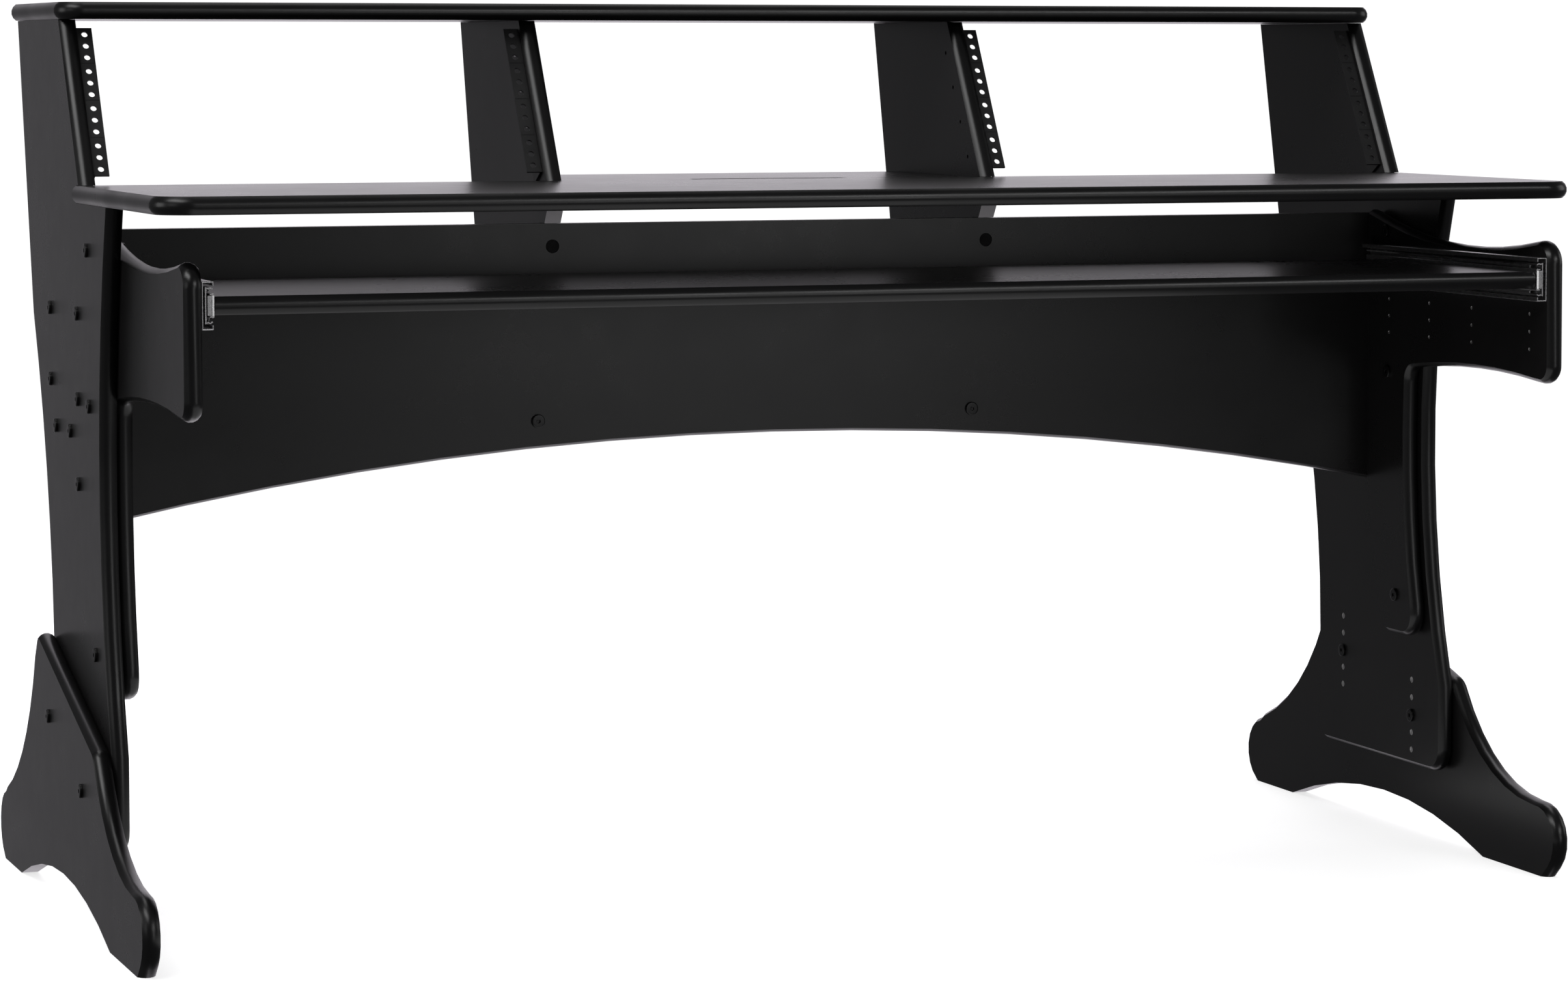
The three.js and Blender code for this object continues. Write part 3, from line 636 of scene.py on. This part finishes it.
def make_unit_marks(node):
    """Fine black lines across a rail's front, one between two rack units."""
    low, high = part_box(node)
    left, right = low.x + MARK_INSET, high.x - MARK_INSET
    up = Vector((0, math.sin(SLOPE), math.cos(SLOPE)))
    out = Vector((0, -math.cos(SLOPE), math.sin(SLOPE)))
    top_hole = Vector((0, TOP_HOLE_DEPTH, TOP_HOLE_HEIGHT))
    outline = ((left, -MARK_HALF), (right, -MARK_HALF), (right, MARK_HALF), (left, MARK_HALF))
    work = bmesh.new()
    for gap in range(GAPS):
        line = top_hole - up * ((MARK_DOWN + gap * UNIT) * MM)
        corners = []
        for depth in (MARK_BACK, MARK_FRONT):
            for x, rise in outline:
                place = Vector((x, 0, 0)) + line + up * (rise * MM) + out * (depth * MM)
                corners.append(work.verts.new(place))
        for face in BAR_FACES:
            work.faces.new([corners[i] for i in face])
    piece = mesh_object("unit_marks_" + node, work, EDGE)
    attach(piece, "desk")


PAN_HEAD = [  # a pan head with a dished middle, from its bearing face up
    (3.9, 0.0), (4.2, 0.15), (4.2, 0.8), (3.9, 1.3), (3.2, 1.65), (2.0, 1.85), (1.3, 1.85),
    (0.9, 1.5),
]
RAIL_SHEET = 2.0  # thickness of the rails' steel
SCREW_DOWN = 22.2  # from the top hole down the slope to the first screw
SCREW_BACK = 18.5  # behind the rail's front
SCREW_SIDES = 28


def make_rail_screws(node, inward):
    """The screws through a rail's side flange, one to each of the upper three rack units."""
    low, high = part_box(node)
    flange = (low.x if inward > 0 else high.x) + inward * RAIL_SHEET * MM
    work = bmesh.new()
    for unit in range(GAPS):
        down = SCREW_DOWN + unit * UNIT
        place = Vector((
            flange,
            TOP_HOLE_DEPTH + (SCREW_BACK - down * math.sin(SLOPE)) * MM,
            TOP_HOLE_HEIGHT - down * math.cos(SLOPE) * MM,
        ))
        rings(work, frame_along(place, (inward, 0, 0)), PAN_HEAD, SCREW_SIDES)
    piece = mesh_object("screws_" + node, work, ZINC, TURNED_ANGLE)
    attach(piece, "desk")


for index, inward in ((1, 1), (2, -1), (3, 1), (4, -1)):
    make_unit_marks(f"rack_rail_{index}")
    make_rail_screws(f"rack_rail_{index}", inward)


# ---------------------------------------------------------------- drawer slides

AXIS = 0.6548  # height of the slides' axis
BALL = 0.0015  # ball radius
BALL_ANGLE = 60.0
BALL_STEP = 14.0
CAGE_GAP = 1.9  # from the ball centres to the cage's web
CAGE_LIP = 1.0  # from the ball centres to the ends of the cage's turned-in edges
CAGE_SHEET = 0.35
CAGE_END = 4.0  # how far a cage runs past its last ball
BALL_ROWS = (  # depth from the arm, height from the axis, web half height, start, end
    (6.2, 19.25, 1.6, -215.0, -15.0),
    (9.35, 13.75, 1.25, -385.0, -215.0),
)


def make_balls(side, sign):
    """Rows of balls behind their cages, carried by the middle member of a slide."""
    face = inner_face("arm_" + side, sign)
    steel = bmesh.new()
    cage = bmesh.new()
    for depth, height, web, start, end in BALL_ROWS:
        for up in (-1, 1):
            x = face - sign * depth * MM
            z = AXIS + up * height * MM
            count = int((end - start) / BALL_STEP) + 1
            for k in range(count):
                y = (start + k * (end - start) / (count - 1)) * MM
                bmesh.ops.create_icosphere(
                    steel, subdivisions=2, radius=BALL,
                    matrix=Matrix.Translation((x, y, z)),
                )
            add_strip(cage, x, z, sign, web, start - CAGE_END, end + CAGE_END)
    balls = mesh_object("slide_balls_" + side, steel, ZINC, BALL_ANGLE)
    cages = mesh_object("slide_cages_" + side, cage, ZINC, TURNED_ANGLE)
    for piece in (balls, cages):
        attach(piece, "slide_middle_" + side)


def add_strip(work, x, z, sign, web, start, end):
    """A cage strip: an upright web on the side of the tray, its edges turned in."""
    outer, inner = -sign * CAGE_GAP, -sign * (CAGE_GAP - CAGE_SHEET)
    lip = -sign * (CAGE_GAP - CAGE_LIP)
    bend, under, corner = web - 0.2, web - CAGE_SHEET, web - 0.45
    section = [
        (outer, -bend), (outer, bend), (inner, web), (lip, web), (lip, under),
        (inner, corner), (inner, -corner), (lip, -under), (lip, -web), (inner, -web),
    ]
    extrude_along_y(work, x, z, section, start, end)


def extrude_along_y(work, x, z, section, start, end):
    """A closed bar along Y from a section in millimetres about a point in metres."""
    loops = []
    for y in (start, end):
        loops.append([
            work.verts.new((x + u * MM, y * MM, z + v * MM)) for u, v in section
        ])
    count = len(section)
    for k in range(count):
        j = (k + 1) % count
        work.faces.new((loops[0][k], loops[0][j], loops[1][j], loops[1][k]))
    work.faces.new(loops[0])
    work.faces.new(loops[1])


STOP_FRONT = -406.5  # front face of the stop on the inner member
LIP_OUTLINE = (  # distance from the arm and depth from the stop, seen from above
    (10.15, 0.0), (10.15, -0.6), (10.35, -0.78), (12.15, -0.46), (12.35, -0.2), (12.35, 0.0),
)
LIP_ANGLE = 20.0
LIP_LEVELS = ((-10.0, 0.75), (-9.75, 1.0), (9.75, 1.0), (10.0, 0.75))  # height, depth's share


def make_stop_lip(side, sign):
    """The bent lip at the tray's side of a stop, turned a little inward."""
    face = inner_face("arm_" + side, sign)
    work = bmesh.new()
    loops = []
    for height, share in LIP_LEVELS:
        z = AXIS + height * MM
        loops.append([
            work.verts.new((face - sign * away * MM, (STOP_FRONT + depth * share) * MM, z))
            for away, depth in LIP_OUTLINE
        ])
    for low, high in zip(loops, loops[1:]):
        for k in range(len(LIP_OUTLINE)):
            j = (k + 1) % len(LIP_OUTLINE)
            work.faces.new((low[k], low[j], high[j], high[k]))
    work.faces.new(loops[0])
    work.faces.new(loops[-1])
    piece = mesh_object("stop_lip_" + side, work, ZINC, LIP_ANGLE)
    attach(piece, "tray")


for side, sign in SIDES:
    make_stop_lip(side, sign)
for side, sign in SIDES:
    make_balls(side, sign)


# ---------------------------------------------------------------- floor and light

FLOOR_RADIUS = 3.6
FLOOR_GAP = 0.0002  # under the feet
WALL_TOWARDS = (0.35, 0.937, 0.0)
WALL_EDGE = (0.845, 0.975)  # how squarely a level direction meets the wall: dim, then bright
DIM_ROOM = (0.088, 0.088, 0.091)
BRIGHT_WALL = (1.08, 1.03, 1.10)
BACKDROP = 1.1  # strength of the white that the camera sees


def make_floor():
    """A round floor that the camera sees and that throws no light back on the desk."""
    work = bmesh.new()
    bmesh.ops.create_circle(
        work, cap_ends=True, cap_tris=True, segments=96, radius=FLOOR_RADIUS
    )
    floor = mesh_object("floor", work, floor_white())
    floor.location.z = cad_box[0].z - FLOOR_GAP
    floor.visible_glossy = False
    floor.visible_diffuse = False


def make_world():
    """White to look at. As light it is one bright wall behind the desk in a dim room."""
    world = bpy.data.worlds.new("studio")
    scene.world = world
    graph = Graph(world)
    ray = graph.node("ShaderNodeTexCoord").outputs["Generated"]
    level = graph.vector("MULTIPLY", ray, (1.0, 1.0, 0.0))
    unit = graph.vector("NORMALIZE", level.outputs["Vector"])
    facing = graph.vector("DOT_PRODUCT", unit.outputs["Vector"], Vector(WALL_TOWARDS).normalized())
    bright = graph.remap(facing.outputs["Value"], *WALL_EDGE)
    room = graph.blend(bright, DIM_ROOM, BRIGHT_WALL)
    light = graph.node("ShaderNodeBackground", {"Color": room})
    white = {"Color": (1.0, 1.0, 1.0), "Strength": BACKDROP}
    backdrop = graph.node("ShaderNodeBackground", white)
    both = graph.node("ShaderNodeMixShader", {
        0: graph.node("ShaderNodeLightPath").outputs["Is Camera Ray"],
        1: light.outputs[0],
        2: backdrop.outputs[0],
    })
    graph.node("ShaderNodeOutputWorld", {"Surface": both.outputs[0]})


def softbox(name, place, target, width, height, power):
    """A rectangular lamp, with its power in watts, that the camera doesn't see."""
    data = bpy.data.lights.new(name, "AREA")
    data.shape = "RECTANGLE"
    data.size = width
    data.size_y = height
    data.energy = power
    lamp = bpy.data.objects.new(name, data)
    lamp.location = place
    lamp.visible_camera = False
    aim = Vector(target) - Vector(place)
    lamp.rotation_euler = aim.to_track_quat("-Z", "Y").to_euler()
    scene.collection.objects.link(lamp)


def make_lights():
    """Broad lamps for the faces and narrow ones for the highlights along the edges."""
    middle = (cad_box[0] + cad_box[1]) / 2
    softbox("overhead", (0.0, 0.8, 3.4), middle, 3.2, 2.0, 34.0)
    softbox("front", (1.9, -4.4, 2.5), (0.0, -0.2, 0.7), 2.6, 0.8, 27.0)
    softbox("front_low", (1.5, -4.8, 0.8), (0.0, 0.0, 0.6), 1.3, 1.3, 9.0)
    softbox("floor_front", (-0.05, -0.6, 0.02), (-0.05, -0.55, 3.0), 1.3, 1.7, 4.0)
    softbox("right_side", (4.3, -0.3, 1.5), middle, 1.8, 1.8, 10.0)
    softbox("left_side", (-4.3, 0.3, 1.2), middle, 1.8, 1.8, 18.0)
    softbox("left_high", (-2.8, -1.75, 4.1), middle, 3.2, 1.5, 66.0)
    softbox("left", (-4.0, -2.4, 1.5), middle, 1.6, 1.6, 6.0)


CAMERA_PLACE = (-1.6767, -4.7518, 0.8912)
CAMERA_TILT = 86.3625  # degrees up from straight down
CAMERA_HEADING = -21.096  # degrees from the desk's depth axis
CAMERA_LENS = 106.22
CAMERA_SHIFT = (-0.0813, -0.0908)


def make_camera():
    """The photograph's viewpoint, in front and to the left, at the height of the hutch."""
    data = bpy.data.cameras.new("camera")
    data.lens = CAMERA_LENS
    data.sensor_width = 36.0
    data.shift_x, data.shift_y = CAMERA_SHIFT
    data.clip_start = 0.05
    data.clip_end = 200.0
    camera = bpy.data.objects.new("camera", data)
    camera.location = CAMERA_PLACE
    camera.rotation_euler = Euler(
        (math.radians(CAMERA_TILT), 0.0, math.radians(CAMERA_HEADING)), "XYZ"
    )
    scene.collection.objects.link(camera)
    scene.camera = camera


make_floor()
make_world()
make_lights()
make_camera()
scene.view_settings.view_transform = "Standard"
scene.view_settings.look = "None"
